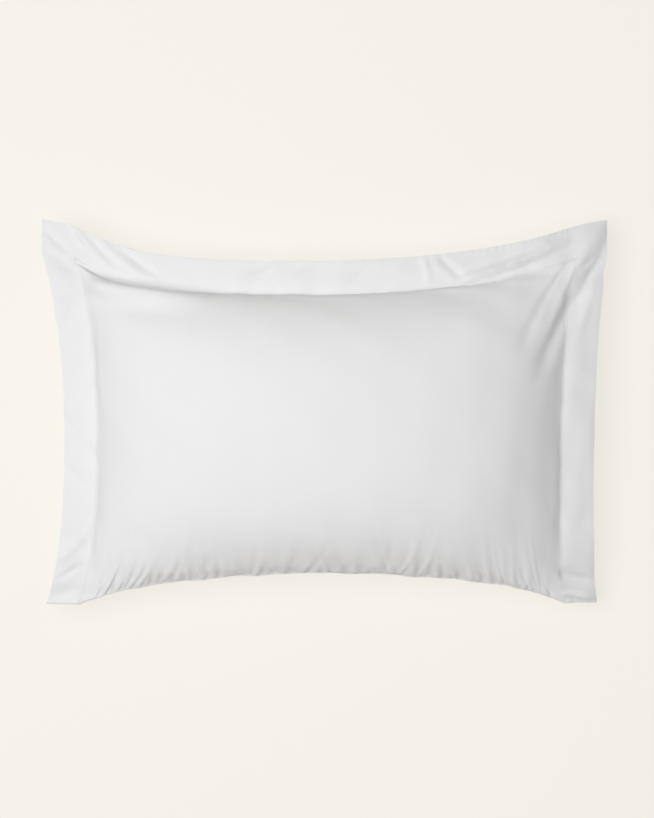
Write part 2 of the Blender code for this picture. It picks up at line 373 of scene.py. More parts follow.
def simulate_case():
    """Fills the stitched case on a bed. Returns the grids of points of its front with the flange and of its
    back, and the flat lines that they follow."""
    case, front_index, back_index, lines_a, lines_b = sewn_case()
    bpy.ops.object.select_all(action="DESELECT")
    bpy.ops.mesh.primitive_plane_add(size=BED_SIZE)
    bed = bpy.context.object
    bed.modifiers.new("Bed", "COLLISION")
    bed.collision.thickness_outer = 0.001
    add_filling(case)

    scene = bpy.context.scene
    scene.frame_start = 1
    scene.frame_end = SIM_FRAMES
    for step in range(1, SIM_FRAMES + 1):
        scene.frame_set(step)
    shaped = case.evaluated_get(bpy.context.evaluated_depsgraph_get()).data
    result = np.empty(len(shaped.vertices) * 3, np.float32)
    shaped.vertices.foreach_get("co", result)
    result = result.reshape(-1, 3).astype(float)
    scene.frame_set(1)
    bpy.data.objects.remove(case)
    bpy.data.objects.remove(bed)
    return result[front_index], result[back_index], lines_a, lines_b


def slackened(front, back, lines_a, lines_b):
    """Lowers the front beside the seam, where the case is looser than the pillow inside it."""
    body = body_of(lines_a, lines_b)
    front = front.copy()
    x, y, z = np.moveaxis(front[body], -1, 0)
    across = (x - x[:, :1]) / (x[:, -1:] - x[:, :1])
    along = (y - y[:1]) / (y[-1:] - y[:1])
    growth = smooth_step(across * FAR_SLACK_GROWTH)
    far_slack = FAR_SLACK[0] + (FAR_SLACK[1] - FAR_SLACK[0]) * growth
    share = np.ones_like(z)
    for distance, slack in (
        (x - x[:, :1], LEFT_SLACK),
        (x[:, -1:] - x, RIGHT_SLACK),
        (y - y[:1], NEAR_SLACK),
        (y[-1:] - y, far_slack),
    ):
        share *= 1 - slack * np.exp(-np.maximum(distance, 0) / SLACK_REACH)
    level_sides = z[:, :1] * (1 - across) + z[:, -1:] * across
    level_ends = z[:1] * (1 - along) + z[-1:] * along
    near_sides = np.minimum(across, 1 - across) < np.minimum(along, 1 - along)
    level = np.where(near_sides, level_sides, level_ends)
    front[body][..., 2] = level + (z - level) * share
    return front, back, lines_a, lines_b


# ---------------------------------------------------------------- grids of points on the cloth


def spaced(start, end, step):
    return np.linspace(start, end, max(2, round((end - start) / step)) + 1)


def run_on(*runs):
    return np.concatenate([runs[0]] + [run[1:] for run in runs[1:]])


def cut_columns():
    seam = BODY_WIDTH / 2
    edge = seam + FLANGE_WIDTH
    return run_on(
        spaced(-edge, -seam, FLANGE_STEP),
        spaced(-seam, seam, GATHER_STEP),
        spaced(seam, edge, FLANGE_STEP),
    )


def cut_rows():
    seam = BODY_DEPTH / 2
    middle = seam - SEAM_ZONE
    return run_on(
        spaced(-seam, -middle, SEAM_STEP),
        spaced(-middle, middle, MIDDLE_STEP),
        spaced(middle, seam, SEAM_STEP),
        spaced(seam, seam + FLANGE_WIDTH, FLANGE_STEP),
    )


def resample(grid, old, new, seams=()):
    """Reads a grid of points at new lines along its first axis. The surface is smooth, but may turn on a
    seam."""
    stops = [old[0], *seams, old[-1]]
    result = np.empty((len(new), *grid.shape[1:]))
    for start, end in zip(stops, stops[1:]):
        knots = grid[(old > start - ON_LINE) & (old < end + ON_LINE)]
        padded = np.concatenate([[2 * knots[0] - knots[1]], knots, [2 * knots[-1] - knots[-2]]])
        wanted = (new > start - ON_LINE) & (new < end + ON_LINE)
        place = np.clip((new[wanted] - start) / (end - start), 0, 1) * (len(knots) - 1)
        cell = np.clip(np.floor(place).astype(int), 0, len(knots) - 2)
        t = (place - cell)[:, None, None]
        p0, p1, p2, p3 = (padded[cell + k] for k in range(4))
        cubic = t * (3 * (p1 - p2) + p3 - p0)
        result[wanted] = p1 + t / 2 * (p2 - p0 + t * (2 * p0 - 5 * p1 + 4 * p2 - p3 + cubic))
    return result


def resample_both(grid, old_rows, old_columns, new_rows, new_columns, row_seams=(), column_seams=()):
    along = resample(grid, old_rows, new_rows, row_seams)
    return resample(along.swapaxes(0, 1), old_columns, new_columns, column_seams).swapaxes(0, 1)


def relaxed(points, times, strength=0.5):
    """Evens out a grid of points, and keeps its outer edge."""
    points = points.copy()
    for _ in range(times):
        around = points[:-2, 1:-1] + points[2:, 1:-1] + points[1:-1, :-2] + points[1:-1, 2:]
        points[1:-1, 1:-1] += (around / 4 - points[1:-1, 1:-1]) * strength
    return points


def ironed(points, times):
    """Evens out each row of a grid of points along its length, and keeps the row's two ends."""
    points = points.copy()
    for _ in range(times):
        points[:, 1:-1] = (points[:, :-2] + 2 * points[:, 1:-1] + points[:, 2:]) / 4
    return points


def grid_normals(points, longest=1.5):
    """Normals of a grid of points, up on a grid that lies flat. They are a little over 1 long at a crease,
    so that a layer moved along them keeps its distance from both sides of it."""
    diagonals = points[1:, 1:] - points[:-1, :-1], points[1:, :-1] - points[:-1, 1:]
    cells = np.cross(*diagonals)
    cells /= np.linalg.norm(cells, axis=2, keepdims=True) + NO_LENGTH
    total = np.zeros_like(points)
    count = np.zeros((*points.shape[:2], 1))
    for rows in (slice(None, -1), slice(1, None)):
        for columns in (slice(None, -1), slice(1, None)):
            total[rows, columns] += cells
            count[rows, columns] += 1
    length = np.linalg.norm(total, axis=2, keepdims=True) + NO_LENGTH
    return total / length * np.minimum(count / length, longest)


def walk_inwards(points, normals, distance):
    """Points and normals at a distance along each column, measured on the surface from the first row."""
    steps = np.linalg.norm(np.diff(points, axis=0), axis=2)
    travelled = np.vstack([np.zeros(points.shape[1]), np.cumsum(steps, axis=0)])
    both = np.concatenate([points, normals], axis=2)
    found = np.empty((points.shape[1], 6))
    for column, way in enumerate(travelled.T):
        for axis in range(6):
            found[column, axis] = np.interp(distance, way, both[:, column, axis])
    return found[:, :3], found[:, 3:]


# ---------------------------------------------------------------- folds and gathers, on the flat cut


def ridge(q):
    """A fold's cross-section: a crest with a shallow hollow on each side of it."""
    return (1 - 1.1 * q**2) * np.exp(-(q**2))


def fold(a, b, start, end, width, height, spread=1.0):
    """A fold between two points of the cut. Its width grows by spread towards its end, where it fades out."""
    start, end = np.array(start), np.array(end)
    run = end - start
    length = np.hypot(*run)
    along = ((a - start[0]) * run[0] + (b - start[1]) * run[1]) / length**2
    across = ((b - start[1]) * run[0] - (a - start[0]) * run[1]) / length
    fade_in = smooth_step((along + 0.15) / 0.3)
    fade_out = smooth_step((1.1 - along) / 0.5)
    wide = width * (1 + (spread - 1) * np.clip(along, 0, 1))
    return height * (fade_in * fade_out) * ridge(across / wide)


def folds_on(a, b, *folds):
    """Several folds together. Each has its two ends, width, height and spread, in that order."""
    return sum(fold(a, b, *each) for each in folds)


def seam_gathers(across, inwards, rng, count, half_length, height, reach, at_seam):
    """Gathers of a seam: across is the way along the seam and inwards the way from it. Each gather has its
    own length, slant and height, and opens out as it runs into the body."""
    relief = np.zeros_like(across)
    shifts = rng.uniform(-GATHER_PLACES, GATHER_PLACES, count) * 2 * half_length / count
    for place in np.linspace(-half_length, half_length, count) + shifts:
        length = reach * rng.uniform(*GATHER_LENGTHS)
        width = rng.uniform(*GATHER_WIDTHS)
        tall = height * rng.uniform(*GATHER_HEIGHTS) * (1 if rng.random() < CRESTS_SHARE else -HOLLOW_SHARE)
        slant = rng.uniform(*GATHER_SLANTS) - GATHER_FAN * place
        run = np.clip(inwards / length, 0, 1)
        q = (across - place - slant * inwards) / (width * (1 + GATHER_SPREAD * run))
        near = np.abs(q) < GATHER_SIDE
        rise = at_seam + (1 - at_seam) * smooth_step(run / GATHER_START)
        relief[near] += (tall * rise * (1 - run) ** GATHER_FADE * ridge(q))[near]
    return relief


def edge_ticks(a, b, rng):
    """Short puckers on the far edge of the flange, to the right of its middle."""
    first, last, pitch = 0.16, 0.36, 0.0115
    width, height, slant = 0.0028, 0.0008, 0.3
    relief = np.zeros_like(a)
    inwards = BODY_DEPTH / 2 + FLANGE_WIDTH - b
    for place in np.arange(first, last, pitch):
        centre = place + rng.uniform(-0.002, 0.002)
        deep = rng.uniform(0.010, 0.018)
        q = (a - centre - slant * inwards) / width
        fade = 1 - smooth_step(inwards / deep)
        relief += rng.uniform(0.5, 1.0) * height * np.exp(-(q**2)) * fade
    return relief


def far_right_folds(a, b):
    """The far right corner hangs in long folds that run from its tip down across the seam."""
    return folds_on(
        a,
        b,
        ((0.436, 0.300), (0.384, 0.150), 0.0150, -0.0050, 1.3),
        ((0.392, 0.182), (0.298, 0.055), 0.0150, -0.0042, 1.5),
        ((0.392, 0.262), (0.330, 0.130), 0.0100, 0.0026, 1.5),
        ((0.352, 0.235), (0.268, 0.095), 0.0095, -0.0020, 1.6),
        ((0.415, 0.225), (0.392, 0.110), 0.0075, 0.0020, 1.2),
        ((0.345, 0.2520), (0.392, 0.2500), 0.0032, -0.0010),
    )


def far_flange_folds(a, b):
    """Ripples of the far flange, the tuck beside its left seam and the swell below that tuck."""
    return folds_on(
        a,
        b,
        ((0.182, 0.258), (0.335, 0.281), 0.0080, 0.0066, 1.1),
        ((0.318, 0.280), (0.372, 0.279), 0.0075, 0.0034),
        ((0.150, 0.296), (0.190, 0.252), 0.0070, -0.0026, 1.2),
        ((0.128, 0.298), (0.138, 0.254), 0.0060, 0.0018, 1.2),
        ((-0.060, 0.296), (-0.125, 0.256), 0.0065, 0.0022, 1.2),
        ((-0.020, 0.298), (-0.078, 0.254), 0.0060, -0.0018, 1.2),
        ((0.052, 0.298), (0.010, 0.254), 0.0065, 0.0018, 1.2),
        ((-0.372, 0.296), (-0.295, 0.256), 0.0075, 0.0030, 1.3),
        ((-0.325, 0.298), (-0.235, 0.256), 0.0070, 0.0028, 1.4),
        ((-0.292, 0.300), (-0.215, 0.262), 0.0060, -0.0020, 1.3),
        ((-0.420, 0.285), (-0.378, 0.252), 0.0090, -0.0030, 1.2),
        ((-0.376, 0.244), (-0.190, 0.243), 0.0095, -0.0058, 1.3),
        ((-0.350, 0.206), (-0.150, 0.200), 0.0250, 0.0115, 1.3),
    )


def left_flange_folds(a, b):
    """Ripples of the left flange."""
    return folds_on(
        a,
        b,
        ((-0.420, 0.030), (-0.385, -0.012), 0.0095, 0.0030),
        ((-0.395, -0.018), (-0.374, -0.040), 0.0080, -0.0030),
        ((-0.422, -0.045), (-0.385, -0.075), 0.0090, -0.0022),
        ((-0.420, -0.170), (-0.380, -0.125), 0.0095, 0.0030),
        ((-0.418, -0.205), (-0.384, -0.175), 0.0080, -0.0018),
        ((-0.420, 0.150), (-0.380, 0.200), 0.0110, 0.0024),
        ((-0.418, 0.095), (-0.380, 0.105), 0.0080, 0.0014),
    )


def right_flange_folds(a, b):
    """Ripples of the right flange, and the tuck at its near end."""
    return folds_on(
        a,
        b,
        ((0.380, -0.120), (0.424, -0.135), 0.0090, 0.0020),
        ((0.380, 0.082), (0.424, 0.070), 0.0075, 0.0018),
        ((0.378, -0.040), (0.424, -0.052), 0.0100, -0.0014),
        ((0.372, -0.195), (0.424, -0.215), 0.0120, -0.0042),
        ((0.376, -0.232), (0.424, -0.242), 0.0080, 0.0034),
    )


def waves(a, b, rng, count, shortest, longest, height):
    """A soft unevenness: waves of several lengths that cross each other."""
    relief = np.zeros_like(a)
    for _ in range(count):
        heading = rng.uniform(0, 2 * math.pi)
        turns = 2 * math.pi / rng.uniform(shortest, longest)
        phase = rng.uniform(0, 2 * math.pi)
        relief += height * np.sin((a * math.cos(heading) + b * math.sin(heading)) * turns + phase)
    return relief


def body_share(a, b):
    """0 on the seam and on the flange, 1 a few centimetres inside the seam."""
    inwards = np.minimum(BODY_WIDTH / 2 - np.abs(a), BODY_DEPTH / 2 - np.abs(b))
    return smooth_step(inwards / BODY_BLEND)


def case_relief(a, b, side):
    """How far the cloth stands out from its simulated shape, on the front or on the back."""
    rng = np.random.default_rng(SEED + side)
    from_near, from_far = b + BODY_DEPTH / 2, BODY_DEPTH / 2 - b
    in_body = (np.abs(a) <= BODY_WIDTH / 2) & (np.abs(b) <= BODY_DEPTH / 2)
    half_long = BODY_WIDTH / 2 - LONG_SEAM_END
    half_short = BODY_DEPTH / 2 - SHORT_SEAM_END
    height = NEAR_GATHER_HEIGHTS[side]
    relief = seam_gathers(a, from_near, rng, half_length=half_long, height=height, **NEAR_GATHERS)
    relief += seam_gathers(a, from_far, rng, half_length=half_long, **FAR_GATHERS)
    for seam_side in (-1, 1):
        inwards = BODY_WIDTH / 2 - seam_side * a
        relief += seam_gathers(b, inwards, rng, half_length=half_short, **SIDE_GATHERS)
    swell = waves(a, b, rng, **SWELL)
    return np.where(in_body, relief, 0) + swell * body_share(a, b)


def flange_relief(a, b):
    """How far the folds of the flange, some of which run on into the body, stand out from it."""
    rng = np.random.default_rng(SEED)
    folds = far_right_folds(a, b) + far_flange_folds(a, b)
    folds += left_flange_folds(a, b)
    folds += right_flange_folds(a, b)
    rumpled = waves(a, b, rng, **RUMPLE) * (1 - body_share(a, b))
    return folds + edge_ticks(a, b, rng) + rumpled


# ---------------------------------------------------------------- the panels of the case


class CasePanels:
    """The points of the case's three panels, layer on layer. Rows run from the folded near flange to the far
    edge, and columns from left to right. cut holds each point's place on the flat cloth."""

    def __init__(self, front_sim, back_sim, lines_a, lines_b):
        self.columns = cut_columns()
        self.rows = cut_rows()
        self.left = nearest(self.columns, -BODY_WIDTH / 2)
        self.right = nearest(self.columns, BODY_WIDTH / 2)
        self.far = nearest(self.rows, BODY_DEPTH / 2)

        front, back = self.smooth_layers(front_sim, back_sim, lines_a, lines_b)
        front, back, plain_back = self.with_relief(front, back)
        strip, turn, strip_b = self.folded_margin(plain_back)
        turn += back[0] - plain_back[0]
        self.folded_rows = len(strip) + len(turn)
        turn_b = np.full(len(turn), self.rows[0])
        self.cut_b = np.concatenate([strip_b, turn_b, self.rows])
        self.stack_layers(front, np.concatenate([strip, turn, back]))

    def smooth_layers(self, front_sim, back_sim, lines_a, lines_b):
        """The front and the back without folds and gathers, on the finished cloth's finer grid. Beyond the
        seam both are the flange."""
        seam_a, seam_b = BODY_WIDTH / 2, BODY_DEPTH / 2
        front_sim = self.evened(front_sim, lines_a, lines_b)
        front = resample_both(
            front_sim, lines_b, lines_a, self.rows, self.columns, [seam_b], [-seam_a, seam_a]
        )
        back = front.copy()
        back_sim = relaxed(back_sim, BACK_SOFTENING)
        sim_rows, sim_columns = body_of(lines_a, lines_b)
        rows, columns = slice(0, self.far + 1), slice(self.left, self.right + 1)
        back[rows, columns] = resample_both(
            back_sim, lines_b[sim_rows], lines_a[sim_columns], self.rows[rows], self.columns[columns]
        )
        return front, back

    def with_relief(self, front, back):
        """Folds and gathers the front and the back. The flange's folds move both of its layers, and only the
        front's run on into the body. The third result is the back without its gathers."""
        a, b = np.meshgrid(self.columns, self.rows)
        folds = flange_relief(a, b)[..., None] * grid_normals(relaxed(front, FOLD_SOFTENING), longest=1.0)
        front_out = grid_normals(relaxed(front, GATHER_SOFTENING), longest=1.0)
        back_out = -grid_normals(relaxed(back, GATHER_SOFTENING), longest=1.0)
        plain_back = back + folds * (1 - body_share(a, b))[..., None]
        front = front + (folds + case_relief(a, b, FRONT)[..., None] * front_out)
        back = plain_back + case_relief(a, b, BACK)[..., None] * back_out
        back[..., 2] = np.maximum(back[..., 2], CLOTH)
        return front, back, plain_back

    def stack_layers(self, front, back):
        """Lays the back, the flap and the front over each other, and closes them at the flange's edge."""
        normals = grid_normals(back)
        self.back = back
        self.flap = back + normals * LAYER_STEP
        self.front = back + normals * (2 * LAYER_STEP)
        a, b = np.meshgrid(self.columns, self.rows)
        beyond = np.maximum(np.abs(a) - BODY_WIDTH / 2, b - BODY_DEPTH / 2)
        upright = np.array([0.0, 0.0, 1.0])
        turned = smooth_step(beyond / FLANGE_TURN)[..., None]
        step = upright * (1 - turned) + normals[self.folded_rows :] * turned
        self.front[self.folded_rows :] = front + step * (2 * LAYER_STEP)
        self.add_hems(normals)
        self.roll_edges(normals)

    @staticmethod
    def evened(front, lines_a, lines_b):
        """Takes the small ripples of the simulation out of the body and irons the far flange. The seam stays
        as it is."""
        body = body_of(lines_a, lines_b)
        front = front.copy()
        front[body] = relaxed(front[body], FLANK_SOFTENING)
        beyond_seam = slice(body[0].stop, None)
        flange = front[beyond_seam]
        front[beyond_seam] = flange + (ironed(flange, IRONING) - flange) * IRONED_SHARE
        return front

    def folded_margin(self, back):
        """The near flange, which turns round the seam and lies under the body."""
        smooth_back = relaxed(back, MARGIN_SOFTENING)
        normals = grid_normals(smooth_back)
        strip = []
        for row in range(FOLD_ROWS, 0, -1):
            place, facing = walk_inwards(smooth_back, normals, FLANGE_WIDTH * row / FOLD_ROWS)
            strip.append(place - facing * FOLD_GAP)
        turn = []
        radius = FOLD_GAP / 2
        for step in range(FOLD_TURN_STEPS - 1, 0, -1):
            angle = math.pi * step / FOLD_TURN_STEPS
            offset = np.array([0.0, -radius * math.sin(angle), -radius * (1 - math.cos(angle))])
            turn.append(back[0] + offset)
        strip_b = self.rows[0] - FLANGE_WIDTH * np.arange(FOLD_ROWS, 0, -1) / FOLD_ROWS
        return np.array(strip), np.array(turn), strip_b

    def add_hems(self, normals):
        """Raises the doubled cloth of the two hems that cross the back."""
        on_body = (self.cut_b > -BODY_DEPTH / 2) & (self.cut_b < BODY_DEPTH / 2)
        for points, edge, way in ((self.back, OPENING, -1), (self.flap, FLAP_EDGE, 1)):
            from_edge = (self.columns - edge) * way
            rising = smooth_step((from_edge + HEM_RISE / 2) / HEM_RISE)
            band = rising * smooth_step((HEM - from_edge) / HEM_FALL)
            points += normals * (HEM_RELIEF * way * band)[None, :, None] * on_body[:, None, None]

    def roll_edges(self, normals):
        """Brings the front and the back together where the flange's edge is turned."""
        edge_a = BODY_WIDTH / 2 + FLANGE_WIDTH - np.abs(self.columns)
        edge_b = BODY_DEPTH / 2 + FLANGE_WIDTH - np.abs(self.cut_b)
        inwards = np.minimum(edge_a[None, :], edge_b[:, None])
        closing = (1 - smooth_step(inwards / EDGE_ROLL))[..., None]
        shift = (LAYER_STEP - CLOTH * EDGE_TOUCH) * closing
        self.back += normals * shift
        self.front -= normals * shift

    def cut_of(self, rows, columns):
        a, b = np.meshgrid(self.columns[columns], self.cut_b[rows])
        return np.stack([a, b], axis=-1)

    def seam_loop(self, points, share, lift):
        """The stitch line round the body, a little outside the seam and held off the cloth."""
        near, far = self.folded_rows, self.folded_rows + self.far
        lifted = points + grid_normals(points) * lift

        def beside(inner, outer):
            return inner * (1 - share) + outer * share

        across = slice(self.left + 1, self.right)
        along = slice(near + 1, far)
        path = [
            beside(lifted[near, across], lifted[near - 1, across]),
            beside(lifted[along, self.right], lifted[along, self.right + 1]),
            beside(lifted[far, across], lifted[far + 1, across])[::-1],
            beside(lifted[along, self.left], lifted[along, self.left - 1])[::-1],
        ]
        return np.concatenate(path)

    def hem_line(self, points, edge, inwards, lift):
        """The stitch line of a hem, across the body from seam to seam."""
        rows = slice(self.folded_rows + 2, self.folded_rows + self.far - 1)
        lifted = points + grid_normals(points) * lift
        return lifted[rows, nearest(self.columns, edge + inwards)]


# ---------------------------------------------------------------- making pieces


def select_only(piece):
    bpy.ops.object.select_all(action="DESELECT")
    piece.select_set(True)
    bpy.context.view_layer.objects.active = piece


def apply_modifiers(piece):
    select_only(piece)
    for modifier in list(piece.modifiers):
        bpy.ops.object.modifier_apply(modifier=modifier.name)


def make_sheet(name, points, cut, thickness, material):
    """A piece of cloth from a grid of points. Its UV map is its place on the flat cut, in metres."""
    rows, columns = points.shape[:2]
    faces = grid_faces(np.arange(rows * columns).reshape(rows, columns))
    piece = mesh_piece(name, points.reshape(-1, 3), faces)
    place = piece.data.uv_layers.new(name="cut")
    place.data.foreach_set("uv", cut.reshape(-1, 2)[faces.ravel()].astype(np.float32).ravel())
    solid = piece.modifiers.new("Cloth", "SOLIDIFY")
    solid.thickness = thickness
    solid.offset = 0.0
    apply_modifiers(piece)
    bpy.ops.object.shade_smooth_by_angle(angle=CREASE_ANGLE)
    piece.data.materials.append(material)
    return piece


def guide_curve(path, closed):
    curve = bpy.data.curves.new("guide", "CURVE")
    curve.dimensions = "3D"
    spline = curve.splines.new("POLY")
    spline.points.add(len(path) - 1)
    for point, place in zip(spline.points, path):
        point.co = (*place, 1.0)
    spline.use_cyclic_u = closed
    guide = bpy.data.objects.new("guide", curve)
    bpy.context.scene.collection.objects.link(guide)
    return guide


def path_length(path, closed):
    ends = np.vstack([path, path[:1]]) if closed else path
    return float(np.linalg.norm(np.diff(ends, axis=0), axis=1).sum())


def run_of_stitches(name, path, closed, material):
    """One stitch with rounded ends, repeated along a path."""
    length = path_length(path, closed)
    count = int(length / STITCH_PITCH)
    bpy.ops.object.select_all(action="DESELECT")
    bpy.ops.mesh.primitive_cylinder_add(
        vertices=6,
        radius=THREAD_RADIUS,
        depth=STITCH,
        location=(STITCH / 2, 0, 0),
        rotation=(0, math.pi / 2, 0),
    )
    piece = bpy.context.object
    piece.name = piece.data.name = name
    bpy.ops.object.transform_apply(location=True, rotation=True, scale=True)
    bpy.ops.object.mode_set(mode="EDIT")
    bpy.ops.mesh.select_all(action="DESELECT")
    bpy.ops.object.mode_set(mode="OBJECT")
    for face in piece.data.polygons:
        face.select = abs(face.normal.x) > 0.9
    bpy.ops.object.mode_set(mode="EDIT")
    bpy.ops.mesh.bevel(offset=THREAD_RADIUS * 0.6, segments=1)
    bpy.ops.object.mode_set(mode="OBJECT")
    repeat = piece.modifiers.new("Repeat", "ARRAY")
    repeat.count = count
    repeat.use_relative_offset = False
    repeat.use_constant_offset = True
    repeat.constant_offset_displace = (length / count, 0, 0)
    guide = guide_curve(path, closed)
    follow = piece.modifiers.new("Follow", "CURVE")
    follow.object = guide
    follow.deform_axis = "POS_X"
    apply_modifiers(piece)
    bpy.data.objects.remove(guide)
    piece.data.shade_smooth()
    piece.data.materials.append(material)
    return piece


def join_pieces(name, pieces):
    select_only(pieces[0])
    for piece in pieces[1:]:
        piece.select_set(True)
    bpy.ops.object.join()
    joined = bpy.context.object
    joined.name = joined.data.name = name
    return joined


def make_cord(name, path, radius, closed, material):
    """A thin cord along a path, such as the piping."""
    piece = guide_curve(path, closed)
    piece.name = name
    piece.data.bevel_depth = radius
    piece.data.bevel_resolution = 2
    piece.data.use_fill_caps = True
    select_only(piece)
    bpy.ops.object.convert(target="MESH")
    piece = bpy.context.object
    piece.data.shade_smooth()
    piece.data.materials.clear()
    piece.data.materials.append(material)
    return piece


def make_label(name, points, cut, rows, columns, lift, material):
    """A woven label sewn to a grid of cloth: a patch of it, held a little off the cloth."""
    smooth = relaxed(points, LABEL_SOFTENING)
    lifted = (smooth + grid_normals(smooth) * lift)[rows, columns]
    place = cut[rows, columns]
    return make_sheet(name, lifted, place - place[0, 0], LABEL_THICKNESS, material)


# ---------------------------------------------------------------- materials


class Nodes:
    """A material's node tree with short ways to add nodes to it."""

    def __init__(self, name, colour, roughness):
        self.material = bpy.data.materials.new(name)
        self.material.use_nodes = True
        self.tree = self.material.node_tree
        self.shader = self.tree.nodes["Principled BSDF"]
        self.shader.inputs["Base Color"].default_value = (*colour, 1)
        self.shader.inputs["Roughness"].default_value = roughness
        self.colour = colour

    def add(self, kind, links=(), **values):
        node = self.tree.nodes.new(kind)
        for name, value in values.items():
            setattr(node, name, value)
        for socket, source in dict(links).items():
            target = node.inputs[socket]
            if isinstance(source, bpy.types.NodeSocket):
                self.tree.links.new(source, target)
            else:
                target.default_value = source
        return node

    def place(self, uv=False, scale=(1, 1, 1), turn=0.0):
        """Where on the cloth, by the flat cut or by the piece's own space, stretched and turned."""
        if uv:
            source = self.add("ShaderNodeUVMap", uv_map="cut").outputs["UV"]
        else:
            source = self.add("ShaderNodeTexCoord").outputs["Object"]
        links = {"Vector": source, "Scale": scale, "Rotation": (0, 0, turn)}
        return self.add("ShaderNodeMapping", links).outputs["Vector"]

    def noise(self, vector, scale, detail=3.0, roughness=0.5):
        links = {"Vector": vector, "Scale": scale, "Detail": detail, "Roughness": roughness}
        return self.add("ShaderNodeTexNoise", links).outputs["Fac"]

    def bands(self, vector, scale, direction="X"):
        node = self.add("ShaderNodeTexWave", {"Vector": vector, "Scale": scale}, wave_type="BANDS")
        node.bands_direction = direction
        return node.outputs["Fac"]

    def math(self, operation, *values):
        node = self.add("ShaderNodeMath", operation=operation)
        for socket, value in zip(node.inputs, values):
            if isinstance(value, bpy.types.NodeSocket):
                self.tree.links.new(value, socket)
            else:
                socket.default_value = value
        return node.outputs["Value"]

    def ramp(self, factor, low, high):
        """A number that runs from low to high as the factor runs from 0 to 1."""
        links = {"Value": factor, "To Min": low, "To Max": high}
        return self.add("ShaderNodeMapRange", links).outputs["Result"]

    def tint(self, factor, low, high):
        """The colour, from low to high times its brightness."""
        node = self.add("ShaderNodeMix", {"Factor": factor}, data_type="RGBA")
        node.inputs[6].default_value = (*(channel * low for channel in self.colour), 1)
        node.inputs[7].default_value = (*(channel * high for channel in self.colour), 1)
        self.tree.links.new(node.outputs[2], self.shader.inputs["Base Color"])

    def rough(self, factor, low, high):
        self.tree.links.new(self.ramp(factor, low, high), self.shader.inputs["Roughness"])

    def bump(self, height, distance, strength=1.0, under=None):
        links = {"Height": height, "Distance": distance, "Strength": strength}
        if under is not None:
            links["Normal"] = under
        return self.add("ShaderNodeBump", links).outputs["Normal"]

    def finish(self, normal):
        self.tree.links.new(normal, self.shader.inputs["Normal"])
        return self.material


def woven_cotton(name, colour, thread_width, sheen, crumple):
    """Plain-woven cotton: warp and weft threads, uneven yarn, a soft unevenness from washing."""
    nodes = Nodes(name, colour, 0.8)
    nodes.shader.inputs["Sheen Weight"].default_value = sheen
    nodes.shader.inputs["Sheen Roughness"].default_value = 0.45
    nodes.shader.inputs["Specular IOR Level"].default_value = 0.3
    flat = nodes.place(uv=True)
    per_metre = 1 / thread_width / 20 * 2 * math.pi
    warp = nodes.bands(flat, per_metre)
    weft = nodes.bands(flat, per_metre, "Y")
    weave = nodes.math("MULTIPLY", warp, weft)
    slub_warp = nodes.noise(nodes.place(uv=True, scale=(900, 26, 1)), 1.0, 2.0)
    slub_weft = nodes.noise(nodes.place(uv=True, scale=(22, 800, 1)), 1.0, 2.0)
    yarn = nodes.math("ADD", slub_warp, slub_weft)
    washed = nodes.noise(flat, 38.0, 4.0, 0.55)
    broad = nodes.noise(flat, 7.0, 2.0)
    slubs = nodes.math("MULTIPLY", yarn, 0.25)
    faded = nodes.math("MULTIPLY", broad, 0.5)
    nodes.tint(nodes.math("ADD", slubs, faded), 0.965, 1.03)
    nodes.rough(nodes.math("MULTIPLY", yarn, 0.5), 0.72, 0.90)
    normal = nodes.bump(washed, crumple, 0.5)
    normal = nodes.bump(yarn, 0.00012, 0.5, normal)
    return nodes.finish(nodes.bump(weave, 0.00008, 0.5, normal))


def sewing_thread(name, colour):
    """Spun thread: a fine slanting twist along its length."""
    nodes = Nodes(name, colour, 0.6)
    nodes.shader.inputs["Sheen Weight"].default_value = 0.25
    space = nodes.place(turn=0.7)
    twist = nodes.bands(space, 700.0, "DIAGONAL")
    fuzz = nodes.noise(space, 1800.0, 2.0)
    nodes.tint(fuzz, 0.90, 1.04)
    nodes.rough(twist, 0.50, 0.72)
    return nodes.finish(nodes.bump(nodes.math("ADD", twist, fuzz), 0.00008, 0.7))


def label_tape(name, colour):
    """Woven satin tape: fine ribs across it and a soft shine."""
    nodes = Nodes(name, colour, 0.45)
    nodes.shader.inputs["Sheen Weight"].default_value = 0.3
    flat = nodes.place(uv=True)
    ribs = nodes.bands(flat, 900.0, "Y")
    cloud = nodes.noise(flat, 260.0, 3.0)
    nodes.tint(cloud, 0.94, 1.02)
    nodes.rough(ribs, 0.38, 0.55)
    return nodes.finish(nodes.bump(nodes.math("ADD", ribs, cloud), 0.0001, 0.6))


def piping_cotton(name, colour):
    """Cotton cut on the bias and wrapped round a cord."""
    nodes = Nodes(name, colour, 0.8)
    nodes.shader.inputs["Sheen Weight"].default_value = 0.15
    space = nodes.place()
    weave = nodes.bands(space, 820.0, "DIAGONAL")
    cloud = nodes.noise(space, 190.0, 3.0)
    nodes.tint(cloud, 0.93, 1.03)
    nodes.rough(weave, 0.72, 0.88)
    return nodes.finish(nodes.bump(nodes.math("ADD", weave, cloud), 0.0002, 0.6))


def polyester_fibre(name, colour):
    """Carded fibre: tangled strands over soft tufts."""
    nodes = Nodes(name, colour, 0.9)
    nodes.shader.inputs["Sheen Weight"].default_value = 0.5
    space = nodes.place()
    tufts = nodes.noise(space, 28.0, 4.0, 0.6)
    strands = nodes.noise(nodes.place(scale=(60, 900, 600), turn=0.5), 1.0, 3.0)
    crossing = nodes.noise(nodes.place(scale=(900, 50, 500), turn=-0.4), 1.0, 3.0)
    tangle = nodes.math("MAXIMUM", strands, crossing)
    nodes.tint(tufts, 0.90, 1.04)
    nodes.rough(tangle, 0.80, 0.98)
    normal = nodes.bump(tufts, 0.002, 0.6)
    return nodes.finish(nodes.bump(tangle, 0.0006, 0.6, normal))


